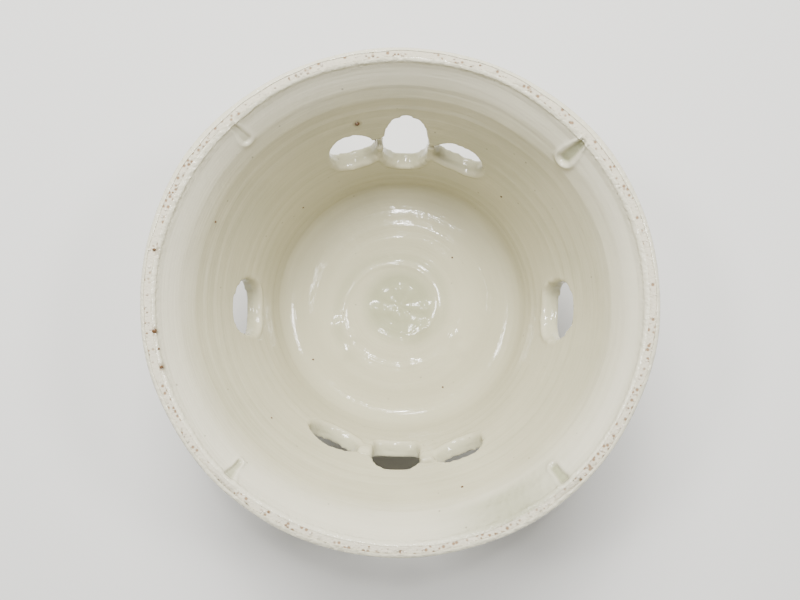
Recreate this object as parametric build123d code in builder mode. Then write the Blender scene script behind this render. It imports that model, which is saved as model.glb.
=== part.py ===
"""Pierced round stand of glazed porcelain, thrown on a wheel, with its foot ring down and its mouth up.

Frame: millimetres, +Z up through the mouth, the origin at the centre of the foot ring's resting face.
-Y is the front. The clay body, each coat of glaze, the kiln sand fused to the bare rim and the iron grains
in the glaze are separate parts. The coats and grains lie face to face with what carries them.
"""

import os
from math import copysign, cos, radians, sin, sqrt

from build123d import *

# ---- driving dimensions, in millimetres and degrees ----
rim_radius = 45.0
total_height = 50.0
wall_thickness = 3.2
glaze_thickness = 0.4

# the rim: a flat bare band between two rounded edges of glaze
rim_band_width = 1.2
rim_outer_round = 0.9
rim_inner_round = 0.8
rim_side_height = 2.0

# the flared lip inside the rim, down to the ridge where it meets the wall
lip_depth = 4.0
lip_width = 3.4

# the well, whose wall is an arc that bows in towards the axis
floor_thickness = 4.5
well_floor_radius = 25.7
wall_bow = 1.6
well_corner_radius = 4.5

# the foot ring, turned from the same clay
foot_ring_height = 3.9
foot_ring_radius = 26.0
foot_ring_width = 3.8
foot_edge_chamfer = 0.4
belly_round = 2.5

# the openings, as angle round the wall, depth of the centre below the rim, width and height on the glaze
back_lobes = [(68.2, 21.8, 10.2, 8.2), (88.1, 21.2, 9.0, 17.2), (107.2, 21.5, 9.6, 10.6)]
front_lobes = [(243.9, 25.8, 10.6, 7.7), (268.3, 24.7, 9.3, 11.5), (292.2, 22.1, 10.2, 7.2)]
side_ovals = [(181.6, 24.3, 11.0, 11.2), (357.4, 22.4, 11.5, 11.0)]

# the narrow cuts that link the lobes, as angle, depth of the centre below the rim, length and height
back_links = [(97.6, 21.6, 4.0, 5.4), (78.8, 21.6, 4.0, 2.8)]
front_links = [(256.6, 24.4, 5.0, 2.0), (279.8, 22.3, 5.0, 3.6)]

# the four grooves pressed across the lip, from a little below the ridge out over the rim
groove_angles = [40.8, 134.0, 225.8, 312.4]
groove_radius = 1.3
groove_depth = 0.6
groove_overrun = 0.6

# grains of kiln sand in the bare band
sand_count = 48
sand_radii = [0.30, 0.22, 0.36, 0.26, 0.32]
sand_shift = 0.16
sand_clear_of_groove = 4.0

# iron grains that stand out of the glaze: on the wall as angle and depth below the rim, on the lip as angle,
# and on the floor as X and Y
iron_radii = [0.28, 0.24, 0.20, 0.26, 0.22]
iron_sink = 0.08
iron_wall_spots = [(103.4, 12.6), (157.2, 8.0), (135.2, 30.5), (46.4, 25.5), (287.2, 9.5), (222.0, 17.0)]
iron_lip_angles = [168.0, 187.3, 192.0, 196.1]
iron_lip_rise = 3.6
iron_floor_spots = [(-18.8, -11.8), (11.5, 10.6), (9.0, -17.5)]

# ---- sizes that follow ----
recess_ceiling = foot_ring_height - glaze_thickness
floor_top = recess_ceiling + floor_thickness
foot_inner_radius = foot_ring_radius - foot_ring_width
band_outer_radius = rim_radius - rim_outer_round
band_inner_radius = band_outer_radius - rim_band_width
band_middle_radius = (band_outer_radius + band_inner_radius) / 2

# points of the half section, as radius and height
lip_top = Vector(band_inner_radius - rim_inner_round, total_height - rim_inner_round)
ridge = Vector(lip_top.X - lip_width, total_height - lip_depth)
wall_foot = Vector(well_floor_radius, floor_top)
side_foot = Vector(rim_radius, total_height - rim_outer_round - rim_side_height)
belly_foot = Vector(foot_ring_radius, recess_ceiling)
lip_slope = (lip_top - ridge).normalized()
lip_normal = Vector(-lip_slope.Y, lip_slope.X)
wall_arc = SagittaArc(wall_foot, ridge, wall_bow, mode=Mode.PRIVATE)
wall_arc_center = Vector(wall_arc.arc_center)


def around(angle, radius, height):
    """A point at this angle round the axis."""
    return Vector(radius * cos(radians(angle)), radius * sin(radians(angle)), height)


def facing_out(angle, depth):
    """A plane that stands in the well and faces straight out, with its own x running round the wall."""
    sideways = Vector(-sin(radians(angle)), cos(radians(angle)), 0)
    start = around(angle, foot_inner_radius, total_height - depth)
    return Plane(origin=start, x_dir=sideways, z_dir=around(angle, 1, 0))


def behind_wall(point, depth):
    """The point of the section that lies this deep, square behind this point of the inner wall."""
    return point + (wall_arc_center - point).normalized() * depth


def meet_wall(point, direction, depth):
    """Where a line of the section, near this point, crosses the arc that lies this deep in the wall."""
    from_center = point - wall_arc_center
    along = from_center.dot(direction)
    half_chord = sqrt(along**2 - from_center.dot(from_center) + (wall_arc.radius - depth) ** 2)
    return point + direction * (copysign(half_chord, along) - along)


def meet_radius(point, direction, radius):
    """Where a line of the section reaches this radius."""
    return point + direction * ((radius - point.X) / direction.X)


def meet_height(point, direction, height):
    """Where a line of the section reaches this height."""
    return point + direction * ((height - point.Y) / direction.Y)


def draw_rim(lip_start, skin):
    """Draws the rim from the lip's start to the outer side: the bare band stands up through a skin."""
    band_start = Vector(band_inner_radius, total_height)
    band_end = Vector(band_outer_radius, total_height)
    round_start = band_end - Vector(0, skin)
    round_end = Vector(rim_radius - skin, total_height - rim_outer_round)
    if skin:
        lip_end = meet_radius(lip_start, lip_slope, band_inner_radius)
        Polyline(lip_start, lip_end, band_start, band_end, round_start)
    else:
        Line(lip_start, lip_top)
        RadiusArc(lip_top, band_start, rim_inner_round)
        Line(band_start, band_end)
    RadiusArc(round_start, round_end, rim_outer_round - skin)
    return round_end


def draw_bowl(section, skin):
    """Draws the bowl's half section, without the foot ring, this far inside its glazed surface."""
    outer_depth = wall_thickness - skin
    under_slope = (side_foot - behind_wall(ridge, wall_thickness)).normalized()
    under_point = side_foot + Vector(-under_slope.Y, under_slope.X) * skin
    belly_slope = (behind_wall(wall_foot, wall_thickness) - belly_foot).normalized()
    belly_point = belly_foot + Vector(-belly_slope.Y, belly_slope.X) * skin
    well_corner = meet_wall(wall_foot - Vector(0, skin), Vector(1, 0), skin)
    ridge_corner = meet_wall(ridge - lip_normal * skin, lip_slope, skin)
    side_corner = meet_radius(under_point, under_slope, rim_radius - skin)
    shoulder = meet_wall(meet_height(under_point, under_slope, ridge.Y), under_slope, outer_depth)
    belly_corner = meet_wall(meet_height(belly_point, belly_slope, floor_top), belly_slope, outer_depth)
    underside_corner = meet_height(belly_point, belly_slope, recess_ceiling + skin)
    with BuildLine() as outline:
        Line((0, floor_top - skin), well_corner)
        ThreePointArc(well_corner, behind_wall(wall_arc @ 0.5, skin), ridge_corner)
        round_end = draw_rim(ridge_corner, skin)
        Polyline(round_end, side_corner, shoulder)
        ThreePointArc(shoulder, behind_wall(wall_arc @ 0.5, outer_depth), belly_corner)
        Polyline(belly_corner, underside_corner, (0, recess_ceiling + skin), (0, floor_top - skin))
    make_face(outline.edges())
    fillet(section.vertices().sort_by_distance(well_corner)[0], radius=well_corner_radius + skin)
    fillet(section.vertices().sort_by_distance(belly_corner)[0], radius=belly_round - skin)


def draw_foot_ring():
    """Adds the foot ring's half section, up to the clay of the floor."""
    inner_edge = foot_inner_radius + foot_edge_chamfer
    outer_edge = foot_ring_radius - foot_edge_chamfer
    with BuildLine() as outline:
        Polyline((inner_edge, 0), (outer_edge, 0), (foot_ring_radius, foot_edge_chamfer))
        Line((foot_ring_radius, foot_edge_chamfer), (foot_ring_radius, foot_ring_height))
        Line((foot_ring_radius, foot_ring_height), (foot_inner_radius, foot_ring_height))
        Line((foot_inner_radius, foot_ring_height), (foot_inner_radius, foot_edge_chamfer))
        Line((foot_inner_radius, foot_edge_chamfer), (inner_edge, 0))
    make_face(outline.edges())


def pierce(growth, mode=Mode.SUBTRACT):
    """Cuts the openings through the part being built, this much larger all round than the finished ones."""
    for angle, depth, width, tall in back_lobes + front_lobes + side_ovals:
        with BuildSketch(facing_out(angle, depth)) as lobe:
            Ellipse(width / 2 + growth, tall / 2 + growth)
        extrude(lobe.sketch, amount=rim_radius, mode=mode)
    for angle, depth, length, tall in back_links + front_links:
        with BuildSketch(facing_out(angle, depth)) as link:
            Rectangle(length, tall + 2 * growth)
        extrude(link.sketch, amount=rim_radius, mode=mode)


def press_grooves(growth, mode=Mode.SUBTRACT):
    """Presses the grooves across the lip of the part being built, this much larger than the finished ones."""
    low_end = ridge + lip_normal * (groove_radius - groove_depth) - lip_slope * (groove_overrun + growth)
    for angle in groove_angles:
        low = around(angle, low_end.X, low_end.Y)
        upward = around(angle, lip_slope.X, lip_slope.Y)
        with BuildSketch(Plane(origin=low, z_dir=upward)) as rod:
            Circle(groove_radius + growth)
        extrude(rod.sketch, amount=2 * lip_depth + groove_overrun, mode=mode)


def sand_places():
    """Where the grains of sand lie along the bare band, clear of the grooves."""
    places = []
    for i in range(sand_count):
        angle = i * 360 / sand_count
        if min(abs(angle - groove) for groove in groove_angles) > sand_clear_of_groove:
            places.append(around(angle, band_middle_radius + sand_shift * (i % 3 - 1), total_height))
    return places


def iron_places():
    """Where the iron grains lie, a little sunk in the glaze of the wall, the lip and the floor."""
    places = []
    for angle, depth in iron_wall_spots:
        level = Vector(well_floor_radius, total_height - depth)
        spot = behind_wall(meet_wall(level, Vector(1, 0), 0), iron_sink)
        places.append(around(angle, spot.X, spot.Y))
    for angle in iron_lip_angles:
        spot = ridge + lip_slope * iron_lip_rise - lip_normal * iron_sink
        places.append(around(angle, spot.X, spot.Y))
    return places + [Vector(x, y, floor_top - iron_sink) for x, y in iron_floor_spots]


def scatter(places, radii, mode=Mode.ADD):
    """Adds or cuts a grain at each place in the part being built, taking its radii in turn."""
    for i, place in enumerate(places):
        with Locations(place):
            Sphere(radii[i % len(radii)], mode=mode)


# ---- the half sections, on the XZ plane ----
with BuildSketch(Plane.XZ) as clay_section:
    draw_bowl(clay_section, glaze_thickness)
    draw_foot_ring()

with BuildSketch(Plane.XZ) as coats_section:
    draw_bowl(coats_section, 0)
    add(clay_section.sketch_local, mode=Mode.SUBTRACT)

coats = coats_section.faces()
inside_coat = coats.sort_by_distance((0, floor_top))[0]
outside_coat = coats.sort_by_distance(side_foot)[0]
recess_coat = coats.sort_by_distance((0, recess_ceiling))[0]

# ---- the clay: thrown and turned, then pierced and pressed, each cut larger by the glaze that lines it ----
with BuildPart() as thrown_clay:
    add(clay_section.sketch)
    revolve(axis=Axis.Z)

with BuildPart() as pierced_clay:
    add(thrown_clay.part)
    pierce(glaze_thickness)
    press_grooves(glaze_thickness)

with BuildPart() as thrown_body:
    add(pierced_clay.part)
    scatter(sand_places(), sand_radii, Mode.SUBTRACT)
thrown_body.part.label = "thrown_body"

# ---- the coats of glaze ----
with BuildPart() as inside_glaze:
    with BuildSketch(Plane.XZ):
        add(inside_coat)
    revolve(axis=Axis.Z)
    pierce(0)
    press_grooves(0)
    scatter(iron_places(), iron_radii, Mode.SUBTRACT)
inside_glaze.part.label = "inside_glaze"

with BuildPart() as outside_glaze:
    with BuildSketch(Plane.XZ):
        add(outside_coat)
    revolve(axis=Axis.Z)
    pierce(0)
outside_glaze.part.label = "outside_glaze"

with BuildPart() as recess_glaze:
    with BuildSketch(Plane.XZ):
        add(recess_coat)
    revolve(axis=Axis.Z)
recess_glaze.part.label = "recess_glaze"

with BuildPart() as opening_glaze:
    pierce(glaze_thickness, Mode.ADD)
    add(thrown_clay.part, mode=Mode.INTERSECT)
    pierce(0)
opening_glaze.part.label = "opening_glaze"

with BuildPart() as groove_glaze:
    press_grooves(glaze_thickness, Mode.ADD)
    add(thrown_clay.part, mode=Mode.INTERSECT)
    press_grooves(0)
groove_glaze.part.label = "groove_glaze"

# ---- the grains: the sand lies flush with the rim, and the iron stands a little out of the glaze ----
with BuildPart() as rim_kiln_sand:
    scatter(sand_places(), sand_radii)
    add(pierced_clay.part, mode=Mode.INTERSECT)
rim_kiln_sand.part.label = "rim_kiln_sand"

with BuildPart() as iron_grains:
    scatter(iron_places(), iron_radii)
iron_grains.part.label = "iron_grains"

os.makedirs("parts", exist_ok=True)
coats_of_glaze = (inside_glaze, outside_glaze, recess_glaze, opening_glaze, groove_glaze)
for piece in (thrown_body, *coats_of_glaze, rim_kiln_sand, iron_grains):
    print(piece.part.label, len(piece.solids()), "solids", round(piece.part.volume, 3), "mm3")
    export_step(piece.part, f"parts/{piece.part.label}.step")
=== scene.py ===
from math import cos, pi, radians, sin

import bmesh
import bpy
import numpy as np
from mathutils import Matrix, Vector


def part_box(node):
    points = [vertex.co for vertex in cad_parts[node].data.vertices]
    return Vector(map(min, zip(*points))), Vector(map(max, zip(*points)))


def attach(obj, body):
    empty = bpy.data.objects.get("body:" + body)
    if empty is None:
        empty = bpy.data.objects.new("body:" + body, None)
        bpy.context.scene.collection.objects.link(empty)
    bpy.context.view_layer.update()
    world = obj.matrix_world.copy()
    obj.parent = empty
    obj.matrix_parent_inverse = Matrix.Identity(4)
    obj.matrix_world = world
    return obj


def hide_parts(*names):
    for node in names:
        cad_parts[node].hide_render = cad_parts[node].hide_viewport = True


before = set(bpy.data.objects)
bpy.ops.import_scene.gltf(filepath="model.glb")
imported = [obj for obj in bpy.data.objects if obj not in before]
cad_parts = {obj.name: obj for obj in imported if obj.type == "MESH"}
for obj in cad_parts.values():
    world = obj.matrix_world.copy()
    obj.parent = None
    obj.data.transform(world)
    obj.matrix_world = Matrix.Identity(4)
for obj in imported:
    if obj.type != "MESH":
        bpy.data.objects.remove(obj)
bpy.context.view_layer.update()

bpy.ops.object.select_all(action="DESELECT")


# The pot: one piece of porcelain clay, thrown on a wheel as a flared bowl on a turned foot ring.
# Its skin is built here ring by ring in millimetres, and the glaze and the clay are both taken from it.
rim_radius = (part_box("outside_glaze")[1][0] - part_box("outside_glaze")[0][0]) * 500
rim_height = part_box("thrown_body")[1][2] * 1000
floor_height = (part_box("inside_glaze")[0][2] + 0.0004) * 1000
recess_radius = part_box("recess_glaze")[1][0] * 1000
recess_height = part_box("recess_glaze")[0][2] * 1000
foot_radius = 26.0
wall_thickness = 3.2
coat_thickness = 0.4
band_outer = rim_radius - 0.9
band_inner = band_outer - 1.2
lip_top = (band_inner - 0.8, rim_height - 0.8)
ridge = (lip_top[0] - 3.4, rim_height - 4.0)
wall_foot = (25.7, floor_height)
wall_bow = 1.6


def wall_arc(start, end, bow, count):
    """Points along an arc that bows towards the axis, both ends included."""
    chord = np.subtract(end, start)
    side = np.array([-chord[1], chord[0]]) / np.hypot(*chord)
    steps = np.linspace(0, 1, count)[:, None]
    return np.array(start) + steps * chord + side * bow * 4 * steps * (1 - steps)


inner_wall = wall_arc(wall_foot, ridge, wall_bow, 30)
slopes = np.gradient(inner_wall, axis=0)
slopes /= np.hypot(*slopes.T)[:, None]
outer_wall = inner_wall + np.stack([slopes[:, 1], -slopes[:, 0]], axis=1) * wall_thickness


def rounded(corner_center, radius, first, last, count=5):
    """Points round a quarter-like turn, from one angle to the other in degrees."""
    turns = np.radians(np.linspace(first, last, count))
    return [(corner_center[0] + radius * cos(t), corner_center[1] + radius * sin(t)) for t in turns]


rings = [(recess_radius * 0.5, recess_height), (recess_radius - 0.8, recess_height)]
rings += rounded((recess_radius - 0.6, recess_height - 0.6), 0.6, 80, 10)
rings += rounded((recess_radius + 0.4, 0.4), 0.4, 180, 270)
rings += rounded((foot_radius - 0.4, 0.4), 0.4, 270, 360)
rings += [(foot_radius, 1.6), (foot_radius, 3.0), (foot_radius + 0.35, 3.9), (foot_radius + 1.3, 5.3)]
rings += [(foot_radius + 2.2, 6.9)] + [tuple(p) for p in outer_wall[1:]]
rings += [(rim_radius - 1.6, rim_height - 3.9), (rim_radius - 0.4, rim_height - 3.0)]
rings += [(rim_radius, rim_height - 2.2)]
rings += rounded((rim_radius - 0.9, rim_height - 0.9), 0.9, 0, 90) + [(band_inner + 0.6, rim_height)]
rings += rounded((band_inner, rim_height - 0.8), 0.8, 90, 170)
bend_start, bend_end = np.array(ridge) + (2.4, 2.26), inner_wall[inner_wall[:, 1] < ridge[1] - 3.2][-1]
for step in np.linspace(0, 1, 9):
    bend = (1 - step) ** 2 * bend_start + 2 * step * (1 - step) * np.array(ridge) + step**2 * bend_end
    rings.append(tuple(bend))
rings += [tuple(p) for p in inner_wall[::-1] if floor_height + 3.4 < p[1] < bend_end[1] - 0.1]
rings += rounded((21.9, floor_height + 4.5), 4.5, -15, -90, 8) + [(r, floor_height) for r in (18, 14, 10, 6, 3)]

ring_sides = 256
bpy.ops.mesh.primitive_circle_add(
    vertices=ring_sides, radius=rings[0][0], fill_type="NGON", location=(0, 0, rings[0][1])
)
pot = bpy.context.object
pot.name = "pot_form"
bpy.ops.object.transform_apply(location=True)
bpy.ops.object.mode_set(mode="EDIT")
bpy.ops.mesh.select_mode(type="EDGE")
bpy.ops.mesh.select_all(action="SELECT")
bpy.ops.mesh.region_to_loop()
for (last_radius, last_height), (radius, height) in zip(rings, rings[1:]):
    rise = (0, 0, height - last_height)
    bpy.ops.mesh.extrude_edges_move(TRANSFORM_OT_translate={"value": rise})
    grow = radius / last_radius
    bpy.ops.transform.resize(value=(grow, grow, 1), center_override=(0, 0, height))
bpy.ops.mesh.edge_face_add()
bpy.ops.mesh.select_all(action="SELECT")
bpy.ops.mesh.normals_make_consistent(inside=False)
bpy.ops.object.mode_set(mode="OBJECT")


# The openings: cut through the stiff clay by hand with a knife, straight out through the wall.
# Each is (angle, height, width, rise above, drop below, upper fullness, lower fullness, lean in degrees).
openings = [
    (88.1, 28.0, 9.1, 9.5, 7.6, 2.6, 2.5, 2),
    (107.0, 29.0, 9.6, 4.9, 5.6, 1.9, 2.4, -8),
    (68.2, 27.9, 10.4, 4.3, 3.8, 2.2, 2.4, 3),
    (268.3, 25.6, 9.3, 5.5, 5.9, 2.8, 4.0, 0),
    (243.9, 24.4, 10.8, 3.7, 4.1, 2.2, 2.0, -6),
    (292.2, 27.9, 10.2, 3.7, 3.6, 2.3, 2.0, -5),
    (181.6, 25.7, 11.0, 5.6, 5.6, 2.3, 2.3, 3),
    (357.4, 27.6, 11.5, 5.5, 5.5, 2.2, 2.4, -4),
]
# Where two lobes run together the knife left a low saddle: (angle, height, length, half height).
saddles = [(97.6, 28.5, 4.0, 2.7), (78.8, 28.3, 4.0, 1.6), (256.6, 25.5, 5.0, 1.1), (279.8, 27.6, 5.0, 1.8)]


def outline(width, rise, drop, full_up, full_down, lean, turn):
    """A hand-cut outline's point at this turn: a rounded form, fuller or leaner above and below."""
    high = sin(turn) >= 0
    power = 2 / (full_up if high else full_down)
    across = width / 2 * np.sign(cos(turn)) * abs(cos(turn)) ** power
    up = (rise if high else -drop) * abs(sin(turn)) ** power
    across *= 1 + 0.03 * sin(3 * turn + width)
    up *= 1 + 0.04 * cos(2 * turn + rise)
    tilt = radians(lean)
    return across * cos(tilt) - up * sin(tilt), across * sin(tilt) + up * cos(tilt)


def knife(angle, height, corners, rise=None):
    """A cutter through the wall with this outline. A saddle's floor rises to this level as it goes out."""
    bpy.ops.mesh.primitive_cylinder_add(vertices=len(corners), radius=1, depth=30)
    blade = bpy.context.object
    half = len(corners)
    out = Vector((cos(radians(angle)), sin(radians(angle)), 0))
    side = Vector((-out.y, out.x, 0))
    for vert in blade.data.vertices:
        across, up = corners[vert.index // 2]
        reach = 20.0 if vert.co.z < 0 else 50.0
        if rise is not None:
            reach = 27.0 if vert.co.z < 0 else 37.0
            up = max(up, rise) if vert.co.z > 0 else up
        vert.co = out * reach + side * across + Vector((0, 0, height + up))
    bpy.ops.object.mode_set(mode="EDIT")
    bpy.ops.mesh.select_all(action="SELECT")
    bpy.ops.mesh.normals_make_consistent(inside=False)
    bpy.ops.object.mode_set(mode="OBJECT")
    return blade


def take_away(blades):
    """Cuts the blades out of the pot, one after another."""
    for blade in blades:
        cut = pot.modifiers.new("cut", "BOOLEAN")
        cut.operation, cut.solver, cut.object = "DIFFERENCE", "MANIFOLD", blade
        bpy.ops.object.select_all(action="DESELECT")
        bpy.context.view_layer.objects.active = pot
        bpy.ops.object.modifier_apply(modifier="cut")
        bpy.data.objects.remove(blade)


turns = np.linspace(0, 2 * pi, 64, endpoint=False)
cuts = [(o[0], o[1], np.array([outline(*o[2:], turn) for turn in turns])) for o in openings]
for angle, height, length, half in saddles:
    corners = [(length / 2 * cos(t), half * np.sign(sin(t)) * abs(sin(t)) ** 0.7) for t in turns]
    cuts.append((angle, height, np.array(corners)))
rises = [None] * len(openings) + [2.2, 1.4, 0.9, 1.5]
take_away([knife(*cut, rise) for cut, rise in zip(cuts, rises)])

# The grooves: a stick pressed across the soft lip at four places, each a little different.
# Each is (angle, half width at the rim, half width at its end, depth, run down the lip, raised edge, skew).
grooves = [
    (40.8, 0.55, 1.20, 0.66, 7.2, 0.34, 0.0), (134.0, 0.5, 0.95, 0.26, 5.9, 0.10, 0.05),
    (225.8, 1.35, 0.55, 0.46, 5.3, 0.14, 0.08), (312.4, 1.25, 0.85, 0.46, 5.5, 0.14, -0.05),
]

remesh = pot.modifiers.new("remesh", "REMESH")
remesh.mode, remesh.voxel_size = "VOXEL", 0.6
bpy.ops.object.modifier_apply(modifier="remesh")
relax = pot.modifiers.new("relax", "SMOOTH")
relax.factor, relax.iterations = 0.5, 3
bpy.ops.object.modifier_apply(modifier="relax")


def radius_of(points):
    return np.hypot(points[:, 0], points[:, 1])


def ease(values, low, high):
    """0 below low, 1 above high and a smooth rise between them."""
    t = np.clip((values - low) / (high - low), 0, 1)
    return t * t * (3 - 2 * t)


def gap_to_outline(points, corners):
    """Signed distance from flat points to a closed outline, negative inside it."""
    best, inside = np.full(len(points), 99.0), np.zeros(len(points), bool)
    for a, b in zip(corners, np.roll(corners, -1, axis=0)):
        run = b - a
        along = np.clip(((points - a) @ run) / (run @ run), 0, 1)[:, None]
        best = np.minimum(best, np.hypot(*(points - a - along * run).T))
        crosses = (a[1] > points[:, 1]) != (b[1] > points[:, 1])
        inside ^= crosses & (points[:, 0] < a[0] + (points[:, 1] - a[1]) * run[0] / (run[1] or 1e-9))
    return np.where(inside, -best, best)


def near_openings(points):
    """Distance to the nearest cut outline, and how low beside its own opening the point lies, 0 to 1."""
    gap, low = np.full(len(points), 9.0), np.zeros(len(points))
    for angle, height, corners in cuts:
        turn = radians(angle)
        reach = points[:, 0] * cos(turn) + points[:, 1] * sin(turn)
        across = points[:, 1] * cos(turn) - points[:, 0] * sin(turn)
        up = points[:, 2] - height
        close = np.flatnonzero((reach > 15) & (abs(across) < 10) & (abs(up) < 14))
        here = gap_to_outline(np.stack([across[close], up[close]], axis=1), corners)
        nearer = here < gap[close]
        gap[close[nearer]] = here[nearer]
        low[close[nearer]] = np.clip(-up[close[nearer]] / 4, 0, 1)
    return gap, low


def near_grooves(points):
    """How far out of its nearest groove each point is, 1 at its edge, with its depth and raised edge."""
    reach, deep, edge = np.full(len(points), 9.0), np.zeros(len(points)), np.zeros(len(points))
    for angle, rim_half, end_half, depth, run, raised_edge, skew in grooves:
        turn = radians(angle)
        out = points[:, 0] * cos(turn) + points[:, 1] * sin(turn)
        way = np.hypot(band_inner + 0.5 - radius_of(points), rim_height - points[:, 2])
        side = points[:, 1] * cos(turn) - points[:, 0] * sin(turn) + way * skew
        close = (out > 30) & (abs(side) < 4.5) & (points[:, 2] > 38)
        half = rim_half + (end_half - rim_half) * ease(way, 0, run * 0.75)
        here = np.hypot(side / half, np.maximum(0, way - run + half) / half)[close]
        reach[close], deep[close], edge[close] = here, depth * ease(way[close], 0.4, 2.0), raised_edge
        edge[close] *= 0.6 + 0.8 * ease(way[close], run - 2.5, run)
    return reach, deep, edge


skin = pot.data
form = bmesh.new()
form.from_mesh(skin)


def verts_array():
    return np.array([vert.co for vert in form.verts])


def split_finer(chosen, times, smooth):
    """Splits the edges round the chosen points in two, some times over, for crisp detail there."""
    for _ in range(times):
        picked = chosen(verts_array())
        form.verts.index_update()
        edges = [edge for edge in form.edges if picked[edge.verts[0].index] and picked[edge.verts[1].index]]
        bmesh.ops.subdivide_edges(form, edges=edges, cuts=1, use_grid_fill=True, smooth=smooth)
        form.verts.index_update()


split_finer(lambda p: abs(near_openings(p)[0]) < 1.5, 1, 0.0)
soft = np.flatnonzero(abs(near_openings(verts_array())[0]) < 1.3)
form.verts.ensure_lookup_table()
for _ in range(8):
    bmesh.ops.smooth_vert(
        form, verts=[form.verts[i] for i in soft], factor=0.5,
        use_axis_x=True, use_axis_y=True, use_axis_z=True,
    )
split_finer(lambda p: (p[:, 2] > rim_height - 2.4) & (radius_of(p) > band_inner - 2), 1, 0.0)
split_finer(lambda p: near_grooves(p)[0] < 2.4, 2, 0.0)
split_finer(lambda p: (radius_of(p) < 16) & (abs(p[:, 2] - floor_height) < 1), 1, 0.0)

spots = verts_array()
flat = np.stack([radius_of(spots), spots[:, 2]], axis=1)
profile = np.array([(0, recess_height)] + rings + [(0, floor_height)])
best, true_flat = np.full(len(flat), 9.0), flat.copy()
for a, b in zip(profile[:-1], profile[1:]):
    run = np.subtract(b, a)
    near = a + np.clip(((flat - a) @ run) / (run @ run), 0, 1)[:, None] * run
    gap = np.hypot(*(flat - near).T)
    closer = gap < best
    best[closer], true_flat[closer] = gap[closer], near[closer]
keep = ease(abs(near_openings(spots)[0]), 0.5, 1.4)
new_flat = flat + (true_flat - flat) * keep[:, None]
grow = np.where(flat[:, 0] > 0.3, new_flat[:, 0] / np.maximum(flat[:, 0], 0.3), 1)
for vert, spot in zip(form.verts, np.stack([spots[:, 0] * grow, spots[:, 1] * grow, new_flat[:, 1]], axis=1)):
    vert.co = spot


def wall_depth(points):
    """How deep a point lies in the wall, from 0 on the inside face to the wall's thickness outside."""
    return (radius_of(points) - np.interp(points[:, 2], inner_wall[:, 1], inner_wall[:, 0])) * 0.95


def band_edges(points):
    """The bare band's inner and outer radius at each point, a little uneven like a wiped edge."""
    turn = np.arctan2(points[:, 1], points[:, 0])
    inner = band_inner + 0.10 * np.sin(5 * turn + 1) + 0.07 * np.sin(13 * turn) + 0.05 * np.sin(31 * turn + 2)
    outer = band_outer + 0.08 * np.sin(4 * turn + 2) + 0.06 * np.sin(17 * turn + 1) + 0.05 * np.sin(37 * turn)
    return inner, outer


true_place = form.verts.layers.float_vector.new("true_place")


def cut_along(field, chosen):
    """Splits the chosen faces of the skin cleanly where the field passes through zero."""
    points = verts_array()
    values = field(points)
    picked = chosen(points)
    for vert, value in zip(form.verts, values):
        vert[true_place] = vert.co
        vert.co = (value, vert.co.y, vert.co.z)
    faces = [face for face in form.faces if all(picked[vert.index] for vert in face.verts)]
    edges = {edge for face in faces for edge in face.edges}
    verts = {vert for face in faces for vert in face.verts}
    geom = list(verts) + list(edges) + faces
    bmesh.ops.bisect_plane(form, geom=geom, plane_co=(0, 0, 0), plane_no=(1, 0, 0))
    for vert in form.verts:
        vert.co = vert[true_place]
    form.verts.index_update()


def in_tunnel(points):
    depth = wall_depth(points)
    return (near_openings(points)[0] < 0.45) & (depth > -0.2) & (depth < wall_thickness + 0.2)


cut_along(lambda p: radius_of(p) - band_edges(p)[0], lambda p: p[:, 2] > rim_height - 3)
cut_along(lambda p: radius_of(p) - band_edges(p)[1], lambda p: p[:, 2] > rim_height - 3)
cut_along(lambda p: radius_of(p) - recess_radius - 0.3, lambda p: p[:, 2] < 1.5)
cut_along(lambda p: radius_of(p) - foot_radius + 0.3, lambda p: p[:, 2] < 1.5)
cut_along(lambda p: wall_depth(p) - 0.7, in_tunnel)
cut_along(lambda p: wall_depth(p) - 2.5, in_tunnel)
cut_along(
    lambda p: near_grooves(p)[0] - 1.1,
    lambda p: (radius_of(p) < band_edges(p)[0] + 0.05) & (near_grooves(p)[0] < 2.4),
)
form.to_mesh(skin)
form.free()

# The finished skin: the throwing lines, the wiped floor and the soft lips are raised on it by hand and
# wheel, and the whole rim went slightly oval when the pot was lifted off the wheel.
spots = np.array([vert.co for vert in skin.vertices])
sheets = [tuple(face.vertices) for face in skin.polygons]
middles = np.array([face.center for face in skin.polygons])
turn, radius, height = np.arctan2(spots[:, 1], spots[:, 0]), radius_of(spots), spots[:, 2]
normals = np.array([vert.normal for vert in skin.vertices])
opening_gap, low_side = near_openings(spots)
groove_reach, groove_deep, groove_edge = near_grooves(spots)
depth = wall_depth(spots)
in_mouth = radius < band_edges(spots)[0] + 0.02
inside = np.where(height > rim_height - 3, in_mouth, depth < 1.6) & (height > floor_height - 1)
on_wall = inside & (height > floor_height + 1)


def hump(values, width):
    return np.exp(-((values / width) ** 2))


def lines(level):
    """The wheel's lines: an uneven helix that climbs a little over 3 mm each turn."""
    lead = turn / (2 * pi)
    wave = 0.05 * np.sin(2 * pi * (level / 3.1 + lead))
    wave += 0.028 * np.sin(2 * pi * (level / 1.37 + 2 * lead) + 1)
    return wave * (0.6 + 0.4 * np.sin(level * 0.45 + turn))


raised = np.where(height > 5, lines(height + np.where(inside, 0, 2)), 0) * ease(abs(opening_gap), 0.2, 2.0)
raised *= 1 - 0.6 * ease(height, rim_height - 4, rim_height - 2)
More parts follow.
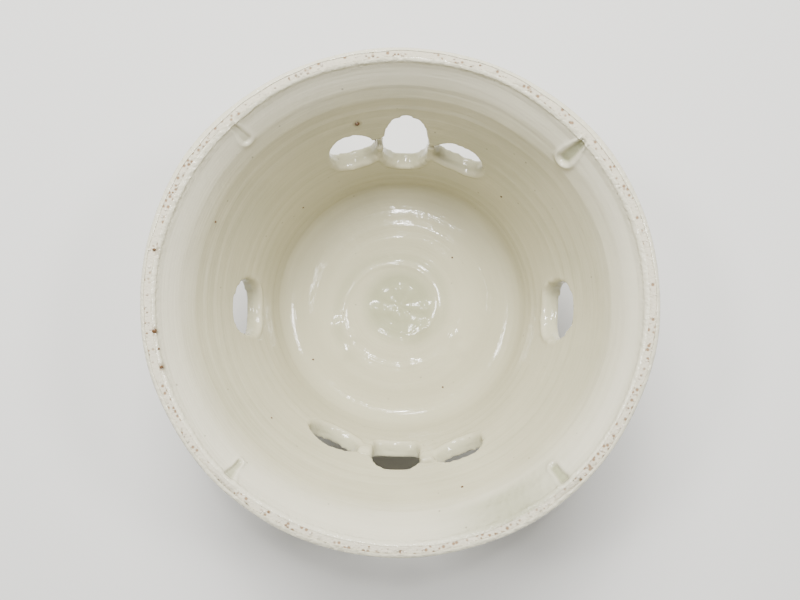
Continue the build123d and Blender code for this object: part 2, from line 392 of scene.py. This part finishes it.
# The floor: a low ring, an outward winding ridge of glaze and slip, and a drip frozen beside its end.
on_floor = inside & (height < floor_height + 3)
winding = np.where(turn < -1.9, turn + 2 * pi, turn)
ridge_way = np.interp(winding, [-1.9, -0.9, 0, 1.71, 2.6, 3.49, 4.4], [5.6, 7.2, 8.2, 9.0, 10.6, 12.6, 14.6])
ridge_show = ease(winding, -1.8, -0.6) * (1 - ease(winding, 3.4, 4.4))
floor_form = 0.17 * hump(radius - ridge_way, 0.42) * ridge_show - 0.20 * (1 - ease(radius, 4.5, 8.5))
floor_form += 0.30 * ease(radius, 11.5, 15.0) * (1 - ease(radius, 18, 21)) + 0.07 * hump(radius - 17.7, 0.5)
floor_form += 0.015 * np.sin(2 * pi * (radius / 2.6 - turn / (2 * pi))) * (1 - ease(radius, 14, 20))
for x, y, rise, width in [
    (4.6, -4.6, 0.75, 1.7), (3.2, -6.8, 0.35, 1.5), (-5.4, -0.6, 0.30, 1.6), (0.6, 3.2, 0.28, 1.5),
    (-1.9, -1.4, 0.30, 1.1), (5.4, -0.8, 0.3, 1.2), (-13.4, -4.4, 0.3, 1.7), (-10.6, -6.6, 0.25, 1.3),
    (-11.8, -10.2, 0.3, 1.6), (2.4, -12.6, 0.22, 1.6), (11.6, -6.4, 0.3, 1.6), (13.4, -9.6, 0.25, 1.6),
]:
    floor_form += rise * hump(np.hypot(spots[:, 0] - x, spots[:, 1] - y), width)
raised += np.where(on_floor, floor_form, 0)
# Lips: a bead of glaze along the lower edge of each opening, and clay pushed up beside the grooves.
lump = 0.75 + 0.25 * np.sin(spots[:, 0] * 1.7 + spots[:, 1]) * np.sin(height * 2.1)
raised += np.where(on_wall, 0.42 * hump(opening_gap - 0.45, 0.42) * low_side * lump, 0)
raised += np.where(on_wall, 0.08 * hump(opening_gap - 0.5, 0.5) * (1 - low_side), 0)
pressed = groove_edge * hump(groove_reach - 1.45, 0.4) - groove_deep * (1 - ease(groove_reach, 0.45, 1.1))
on_lip = on_wall & (height > 40)
pressed = np.where(on_lip, pressed, 0)
lip_facing = np.array([ridge[1] - lip_top[1], lip_top[0] - ridge[0]]) / np.hypot(*np.subtract(lip_top, ridge))
facing = np.stack([lip_facing[0] * np.cos(turn), lip_facing[0] * np.sin(turn), 0 * turn + lip_facing[1]])
facing = facing.T
raised += np.where(on_wall, 0.07 * hump(np.hypot(radius - ridge[0] - 0.1, height - ridge[1] - 0.2), 0.6), 0)
# Slow unevenness of a hand-thrown wall, and the bare rim and foot left by wiping.
slow_waves = 0.10 * np.sin(3 * turn + height * 0.13) * ease(height, 6, 14)
raised += slow_waves + 0.06 * np.sin(7 * turn + height * 0.31)
under_foot = (height < 0.6) & (radius > recess_radius + 0.25) & (radius < foot_radius - 0.25)
bare_floor = under_foot | (height < 0.02)
raised[bare_floor] = 0
level_top = height > rim_height - 0.3
raised[level_top] = np.clip(raised[level_top], -0.15, 0.0)
spots = spots + normals * raised[:, None] + facing * pressed[:, None]
oval = ease(height, 4, rim_height) * (0.0095 * (np.cos(2 * turn) - 1) + 0.004 * hump(turn - 2.36, 0.35))
oval += ease(height, 10, rim_height) * 0.004 * (hump(turn + 2.41, 0.3) + hump(turn + 0.70, 0.3))
oval -= ease(height, 10, rim_height) * 0.0025 * (1 + np.sin(9 * turn) * 0.4 + np.sin(14 * turn + 1) * 0.3)


def bent(points, share):
    """Points after the rim has gone oval."""
    return np.stack([points[:, 0] * (1 + share), points[:, 1] * (1 + share), points[:, 2]], axis=1)


spots = bent(spots, oval)
skin.vertices.foreach_set("co", spots.ravel())
skin.update()
normals = np.array([vert.normal for vert in skin.vertices])

# Which part of the skin each face belongs to.
inner_edge, outer_edge = band_edges(middles)
mid_radius, mid_height, mid_depth = radius_of(middles), middles[:, 2], wall_depth(middles)
top = mid_height > rim_height - 3
bare_rim = (mid_height > rim_height - 1.4) & (mid_radius > inner_edge) & (mid_radius < outer_edge)
bare_foot = (mid_height < 0.5) & (mid_radius > recess_radius + 0.3) & (mid_radius < foot_radius - 0.3)
in_recess = (mid_radius < recess_radius + 0.3) & (mid_height < recess_height + 1)
is_inside = np.where(top, mid_radius < inner_edge, (mid_depth < 1.6) & (mid_height > 6)) & ~in_recess
cut_face = (near_openings(middles)[0] < 0.45) & (mid_depth > 0.7) & (mid_depth < 2.5)
is_groove = is_inside & (near_grooves(middles)[0] < 1.1) & (mid_height > 38)
BARE, INSIDE, OUTSIDE, RECESS, CUT, GROOVE = range(6)
kind = np.full(len(middles), OUTSIDE)
kind[is_inside] = INSIDE
kind[in_recess] = RECESS
kind[cut_face] = CUT
kind[is_groove] = GROOVE
kind[bare_rim | bare_foot] = BARE
bare = np.zeros(len(spots), bool)
for sheet, one in zip(sheets, kind):
    if one == BARE:
        bare[list(sheet)] = True
thickness = np.where(bare, np.where(height > 20, 0.13, 0.0), coat_thickness)
bed = spots - normals * thickness[:, None]
# How thick and green the glaze stands: in the pool, beside the winding ridge, in the grooves and at the cuts.
pool_depth = 0.75 * (1 - ease(radius, 5.5, 9.5)) + 0.35 * hump(radius - ridge_way - 1.6, 1.2) * ridge_show
pooled = np.where(on_floor, pool_depth, 0)
pooled += np.where(on_lip, 0.85 * (1 - ease(groove_reach, 0.4, 1.1)) * ease(groove_deep, 0.1, 0.6), 0)
runny = hump(turn + 1.08, 0.24) * ease(height, 44.2, 46.5)
pooled = np.clip(pooled + 0.7 * runny * (radius < band_inner), 0, 1)
pooled += 0.25 * ease(depth, 0.3, 0.9) * (abs(opening_gap) < 0.4) * (depth < wall_thickness)


def color(code):
    """A colour from its sRGB hex code."""
    parts = [int(code[i:i + 2], 16) / 255 for i in (0, 2, 4)]
    return (*[p / 12.92 if p <= 0.04045 else ((p + 0.055) / 1.055) ** 2.4 for p in parts], 1)


def new_material(name, base, roughness):
    """A material with its node tree and its surface shader."""
    made = bpy.data.materials.new(name)
    made.use_nodes = True
    surface = made.node_tree.nodes["Principled BSDF"]
    surface.inputs["Base Color"].default_value = color(base)
    surface.inputs["Roughness"].default_value = roughness
    return made, made.node_tree, surface


def add(tree, kind, inputs=None, **settings):
    """Adds one node, sets it up, and links or fills its inputs."""
    made = tree.nodes.new("ShaderNode" + kind)
    for name, value in settings.items():
        setattr(made, name, value)
    for socket, value in (inputs or {}).items():
        if isinstance(value, bpy.types.NodeSocket):
            tree.links.new(value, made.inputs[socket])
        else:
            made.inputs[socket].default_value = value
    return made


def math(tree, operation, first, second=0.0):
    return add(tree, "Math", {0: first, 1: second}, operation=operation).outputs[0]


def fade(tree, value, start, end, low=0, high=1):
    """A factor that goes from low to high as the value goes from start to end."""
    return add(tree, "MapRange", {0: value, 1: start, 2: end, 3: low, 4: high}).outputs[0]


def mixed(tree, factor, first, second):
    """Blends two colours by a factor."""
    return add(tree, "Mix", {0: factor, 6: first, 7: second}, data_type="RGBA").outputs[2]


def noise(tree, at, scale, detail, **inputs):
    return add(tree, "TexNoise", {"Vector": at, "Scale": scale, "Detail": detail, **inputs}).outputs[0]


def millimetres(tree):
    """Object coordinates in millimetres."""
    at = add(tree, "TexCoord").outputs["Object"]
    return add(tree, "VectorMath", {0: at, 1: (1000, 1000, 1000)}, operation="MULTIPLY").outputs[0]


def roughen(tree, surface, height, strength, distance):
    """Lifts the surface's fine relief by a height map."""
    bump = add(tree, "Bump", {"Height": height, "Strength": strength, "Distance": distance}).outputs[0]
    tree.links.new(bump, surface.inputs["Normal"])


def make(name, points, faces, **marks):
    """A mesh piece in metres from points and faces in millimetres, with its painted-on marks."""
    data = bpy.data.meshes.new(name)
    data.from_pydata((np.asarray(points) * 0.001).tolist(), [], faces)
    for mark, values in marks.items():
        data.attributes.new(mark, "FLOAT", "POINT").data.foreach_set("value", np.asarray(values, dtype=float))
    data.polygons.foreach_set("use_smooth", [True] * len(data.polygons))
    piece = bpy.data.objects.new(name, data)
    bpy.context.collection.objects.link(piece)
    return piece


most_triangles = 190000


def lighten(piece, group=""):
    """Merges faces until the piece has few enough triangles, only inside the vertex group if one is named."""
    triangles = sum(len(face.vertices) - 2 for face in piece.data.polygons)
    if triangles > most_triangles:
        thin = piece.modifiers.new("lighten", "DECIMATE")
        thin.ratio, thin.vertex_group = most_triangles / triangles, group
        bpy.ops.object.select_all(action="DESELECT")
        bpy.context.view_layer.objects.active = piece
        bpy.ops.object.modifier_apply(modifier="lighten")


def stand_in(piece, material, node):
    """Gives a piece its material and puts it in the place of its CAD node."""
    piece.data.materials.append(material)
    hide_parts(node)
    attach(piece, "root")


# The body: thrown porcelain, fired dry and off-white, with small pits and patches of iron staining.
# It is bare only on the band of the rim and under the foot, where the glaze was wiped away.
fired, tree, surface = new_material("fired_clay", "cbc3ad", 0.75)
at = millimetres(tree)
cells = add(tree, "TexVoronoi", {"Vector": at, "Scale": 1.25})
picked = add(tree, "SeparateXYZ", {0: cells.outputs["Color"]}).outputs[0]
share = fade(tree, noise(tree, at, 0.11, 1), 0.42, 0.62, 0.15, 0.85)
speck = math(tree, "MULTIPLY", math(tree, "LESS_THAN", picked, share),
             fade(tree, cells.outputs["Distance"], 0.24, 0.48, 0.9, 0))
tree.links.new(mixed(tree, speck, color("cdc6b0"), color("86694a")), surface.inputs["Base Color"])
grit = math(tree, "MULTIPLY", noise(tree, at, 2.6, 3), 0.22)
roughen(tree, surface, math(tree, "SUBTRACT", grit, math(tree, "MULTIPLY", speck, 0.08)), 1.0, 0.001)

clay = make("clay_pot", bed, sheets, bare=bare)
bpy.data.objects.remove(pot)
lighten(clay)
stand_in(clay, fired, "thrown_body")

# The inside coat: one melt of milky grey-green celadon over the floor, the wall and the lip. It is cream
# where thin and greener where it ran together, and iron grains in the clay burst brown through it here.
# Towards the lip its colour is paler, partly thinner glaze and partly painted light; low in the pot it is
# darker with painted shade.
# Each grain on the wall is (angle, height, size), and each on the lip is (angle, distance out, size).
wall_iron = [
    (103.4, 37.4, 0.42), (157.2, 42.0, 0.22), (135.2, 19.5, 0.2),
    (46.4, 24.5, 0.2), (288.3, 40.5, 0.24), (222, 33, 0.18),
]
lip_iron = [(168.0, 43.0, 0.26), (187.3, 42.4, 0.4), (191.5, 42.0, 0.22), (196.1, 42.4, 0.3)]
floor_iron = [(-18.8, -11.8), (11.5, 10.6), (9.0, -17.5)]
rim_oval = 0.981


def on_skin(target):
    """The skin's nearest point to a target, in millimetres."""
    return spots[np.argmin(((spots - target) ** 2).sum(axis=1))]


iron_places = []
for angle, level, size in wall_iron:
    reach = np.interp(level, inner_wall[:, 1], inner_wall[:, 0])
    iron_places.append((on_skin((reach * cos(radians(angle)), reach * sin(radians(angle)), level)), size))
for angle, reach, size in lip_iron:
    target = (reach * cos(radians(angle)), reach * sin(radians(angle)) * rim_oval, rim_height)
    iron_places.append((on_skin(target), size))
iron_places += [(on_skin((x, y, floor_height)), 0.2) for x, y in floor_iron]

glaze, tree, surface = new_material("celadon_glaze", "c7c1a3", 0.12)
at = millimetres(tree)
x, y, z = add(tree, "SeparateXYZ", {0: at}).outputs
out = math(tree, "SQRT", math(tree, "ADD", math(tree, "MULTIPLY", x, x), math(tree, "MULTIPLY", y, y)))
climb = math(tree, "ADD", math(tree, "MULTIPLY", out, 0.8), z)
wheel_x, wheel_y = math(tree, "MULTIPLY", x, 0.03), math(tree, "MULTIPLY", y, 0.03)
wheel = add(tree, "CombineXYZ", {0: wheel_x, 1: wheel_y, 2: climb})
fine_lines = noise(tree, wheel.outputs[0], 1.9, 2, Roughness=0.6)
broad_tone = math(tree, "MULTIPLY", fade(tree, noise(tree, at, 0.09, 2), 0.35, 0.65), 0.8)
pool = add(tree, "Attribute", attribute_name="pooled").outputs["Fac"]
runs = add(tree, "Attribute", attribute_name="runny").outputs["Fac"]
tone = mixed(tree, broad_tone, color("c5bfa1"), color("bbb698"))
tone = mixed(tree, fade(tree, fine_lines, 0.35, 0.7, 0, 0.35), tone, color("cdc7ab"))
# Paler towards the lip: partly thinner glaze, partly painted light where the lip faces the lamps.
tone = mixed(tree, fade(tree, z, 42, 47.5, 0, 0.8), tone, color("d6d1bb"))
# Darker towards the bottom, from 26 mm down to 9 mm: painted shade for the deep well, on every coat of this
# glaze.
tone = mixed(tree, fade(tree, z, 26, 9, 0, 0.7), tone, color("b3ae90"))
tone = mixed(tree, pool, tone, color("999a7a"))
cells = add(tree, "TexVoronoi", {"Vector": at, "Scale": 0.42})
rare = math(tree, "GREATER_THAN", add(tree, "SeparateXYZ", {0: cells.outputs["Color"]}).outputs[0], 0.72)
dot = fade(tree, cells.outputs["Distance"], 0.05, 0.11, 0.75, 0)
tone = mixed(tree, math(tree, "MULTIPLY", rare, dot), tone, color("8d8875"))
for center, size in iron_places:
    if size > 0.25:
        away = add(tree, "VectorMath", {0: at, 1: tuple(center)}, operation="DISTANCE").outputs["Value"]
        tone = mixed(tree, fade(tree, away, 0.3, 1.1, 0.75, 0), tone, color("75603f"))
tree.links.new(tone, surface.inputs["Base Color"])
bubbles = add(tree, "TexVoronoi", {"Vector": at, "Scale": 0.85}, feature="SMOOTH_F1").outputs["Distance"]
relief = math(tree, "MULTIPLY", fine_lines, 0.05)
relief = math(tree, "ADD", relief, math(tree, "MULTIPLY", noise(tree, at, 0.45, 1), 0.07))
relief = math(tree, "ADD", relief, math(tree, "MULTIPLY", noise(tree, at, 1.6, 1), 0.018))
at_rim = fade(tree, z, 48.6, 49.6, 0, 0.28)
relief = math(tree, "ADD", relief, math(tree, "MULTIPLY", noise(tree, at, 1.2, 2), at_rim))
relief = math(tree, "ADD", relief, math(tree, "MULTIPLY", math(tree, "MULTIPLY", bubbles, runs), -0.35))
roughen(tree, surface, relief, 1.0, 0.001)
surface.inputs["Coat Weight"].default_value = 0.3
surface.inputs["Coat Roughness"].default_value = 0.04


def coat(name, which):
    """A closed coat of glaze on the faces of one kind: its face, its bed on the clay and its edge."""
    faces = [sheets[i] for i in np.flatnonzero(kind == which)]
    used = sorted({v for face in faces for v in face})
    place = {v: i for i, v in enumerate(used)}
    count = len(used)
    front = [tuple(place[v] for v in face) for face in faces]
    back = [tuple(v + count for v in reversed(face)) for face in front]
    ways = {(a, b) for face in front for a, b in zip(face, face[1:] + face[:1])}
    sides = [(b, a, a + count, b + count) for a, b in ways if (b, a) not in ways]
    points = np.concatenate([spots[used], bed[used]])
    piece = make(
        name, points, front + back + sides, pooled=np.tile(pooled[used], 2), runny=np.tile(runny[used], 2)
    )
    facing = np.concatenate([normals[used], -normals[used]])
    piece.data.attributes.new("facing", "FLOAT_VECTOR", "POINT").data.foreach_set("vector", facing.ravel())
    piece.vertex_groups.new(name="bed").add(list(range(count, 2 * count)), 1.0, "REPLACE")
    lighten(piece, "bed")
    # The glazed face keeps the skin's own smooth normals, and the thin edge stays flat.
    facing = np.empty(len(piece.data.vertices) * 3)
    piece.data.attributes["facing"].data.foreach_get("vector", facing)
    loops = np.empty(len(piece.data.loops), dtype=int)
    piece.data.loops.foreach_get("vertex_index", loops)
    facing = facing.reshape(-1, 3)[loops]
    for face in piece.data.polygons:
        its_loops = slice(face.loop_start, face.loop_start + face.loop_total)
        if abs(facing[its_loops] @ np.array(face.normal)).max() < 0.6:
            facing[its_loops] = face.normal
    piece.data.attributes.remove(piece.data.attributes["facing"])
    piece.vertex_groups.clear()
    piece.data.normals_split_custom_set(facing.tolist())
    return piece


stand_in(coat("inside_glaze_coat", INSIDE), glaze, "inside_glaze")

# The outside coat: the same melt from the bare band down over the outside, which stops in a wiped edge
# just above the foot's resting face.
stand_in(coat("outside_glaze_coat", OUTSIDE), glaze, "outside_glaze")

# The recess coat: the same melt under the pot, inside the foot ring, where it never touched the shelf.
stand_in(coat("recess_glaze_coat", RECESS), glaze, "recess_glaze")

# The openings' linings: glaze that ran through the knife cuts when the pot was dipped and covers their
# cut faces from the inside coat to the outside coat.
stand_in(coat("opening_glaze_coat", CUT), glaze, "opening_glaze")

# The grooves' linings: glaze pooled in the four pressed grooves of the lip, thicker and greener.
stand_in(coat("groove_glaze_coat", GROOVE), glaze, "groove_glaze")

# Kiln sand: fine quartz grains, off-white to tea brown, that stuck to the wet bare rim while it stood on
# a sanded shelf and fused there. They lie thickest in four patches, each (angle in radians, spread).
sand_patches = [(-0.5, 0.3), (1.78, 0.3), (-1.8, 0.35), (2.97, 0.25)]
rng = np.random.default_rng(7)
bpy.ops.mesh.primitive_ico_sphere_add(subdivisions=2, radius=1, location=(0, 0, 0))
grain = bpy.context.object
grain_points = np.array([vert.co for vert in grain.data.vertices])
grain_faces = [tuple(face.vertices) for face in grain.data.polygons]
bpy.data.objects.remove(grain)


def heap(name, places):
    """Many small rough grains as one piece: each place is (centre, half sizes)."""
    points, faces, tone = [], [], []
    for center, sizes in places:
        rough = grain_points * (1 + rng.normal(0, 0.07, (len(grain_points), 1)))
        spin = Matrix.Rotation(rng.uniform(0, 6.28), 3, Vector((0, 0, 1)))
        rough = rough @ np.array(spin) * np.array(sizes)
        faces += [tuple(v + len(points) * len(grain_points) for v in face) for face in grain_faces]
        points.append(rough + center)
        tone += [rng.uniform()] * len(grain_points)
    return make(name, np.concatenate(points), faces, tone=tone)


sand_places = []
for turn_at in np.sort(rng.uniform(0, 2 * pi, 230)):
    patch = sum(hump((turn_at - at + pi) % (2 * pi) - pi, wide) for at, wide in sand_patches)
    if rng.uniform() > 0.35 + patch or min(abs(turn_at - radians(g[0])) for g in grooves) < 0.035:
        continue
    size = rng.uniform(0.10, 0.22) * (1 + 0.35 * patch)
    reach = rng.uniform(band_inner + 0.15, band_outer - 0.15)
    base = on_skin((reach * cos(turn_at), reach * sin(turn_at) * rim_oval, rim_height - 0.1))
    sand_places.append((base + (0, 0, -0.13), (size, size * rng.uniform(0.7, 1), size * 0.8)))

quartz, tree, surface = new_material("quartz_sand", "b8a88c", 0.45)
grain_tone = add(tree, "Attribute", attribute_name="tone").outputs["Fac"]
tone = mixed(tree, fade(tree, grain_tone, 0.35, 0.9), color("d8d1c0"), color("84684a"))
tree.links.new(tone, surface.inputs["Base Color"])
roughen(tree, surface, noise(tree, millimetres(tree), 9, 2), 0.6, 0.00005)
stand_in(heap("kiln_sand_grains", sand_places), quartz, "rim_kiln_sand")

# Iron grains: dark brown grains that were in the clay and half melted into the glaze, each a low bead.
rust, tree, surface = new_material("iron_grain", "6b4526", 0.35)
mottle = noise(tree, millimetres(tree), 4, 3)
tree.links.new(mixed(tree, mottle, color("3f2c1b"), color("745435")), surface.inputs["Base Color"])
roughen(tree, surface, mottle, 0.8, 0.0001)
beads = [(center, (size * 1.1, size, size * 0.75)) for center, size in iron_places]
stand_in(heap("iron_grain_spots", beads), rust, "iron_grains")


# The setting: a plain pale floor, soft daylight and the view straight into the mouth.
bpy.ops.mesh.primitive_plane_add(size=3, location=(0, 0, 0))
floor = bpy.context.object
floor.name = "floor"
floor.data.materials.append(new_material("pale_floor", "d9d8d4", 0.8)[0])

world = bpy.data.worlds.new("studio")
world.use_nodes = True
world.node_tree.nodes["Background"].inputs["Color"].default_value = color("efebe2")
world.node_tree.nodes["Background"].inputs["Strength"].default_value = 0.20
bpy.context.scene.world = world


def light(name, place, target, size, power, glints=True):
    """A soft square light turned to face its target. Without glints it shows in no reflection."""
    lamp = bpy.data.lights.new(name, "AREA")
    lamp.shape, lamp.size, lamp.energy = "SQUARE", size, power
    made = bpy.data.objects.new(name, lamp)
    made.location = place
    made.rotation_euler = (Vector(target) - Vector(place)).to_track_quat("-Z", "Y").to_euler()
    made.visible_glossy = glints
    bpy.context.collection.objects.link(made)


light("key", (-0.04, 0.33, 0.57), (0, 0, 0.02), 0.36, 9.2, glints=False)
light("ceiling_left", (-0.30, 0.10, 0.56), (0, 0, 0.03), 0.09, 1.4)
light("ceiling_middle", (0.02, 0.18, 0.66), (0, 0, 0.03), 0.04, 0.9)
light("ceiling_back", (-0.05, 0.36, 0.55), (0, 0, 0.03), 0.09, 1.0)
light("ceiling_right", (0.32, 0.08, 0.54), (0, 0, 0.03), 0.09, 1.4)

eye = bpy.data.cameras.new("eye")
eye.lens, eye.sensor_width = 40.5, 36
camera = bpy.data.objects.new("eye", eye)
camera.location = (0, -0.004577, 0.204218)
camera.rotation_euler = (Vector((0, 0, 0.050)) - camera.location).to_track_quat("-Z", "Y").to_euler()
bpy.context.collection.objects.link(camera)
bpy.context.scene.camera = camera
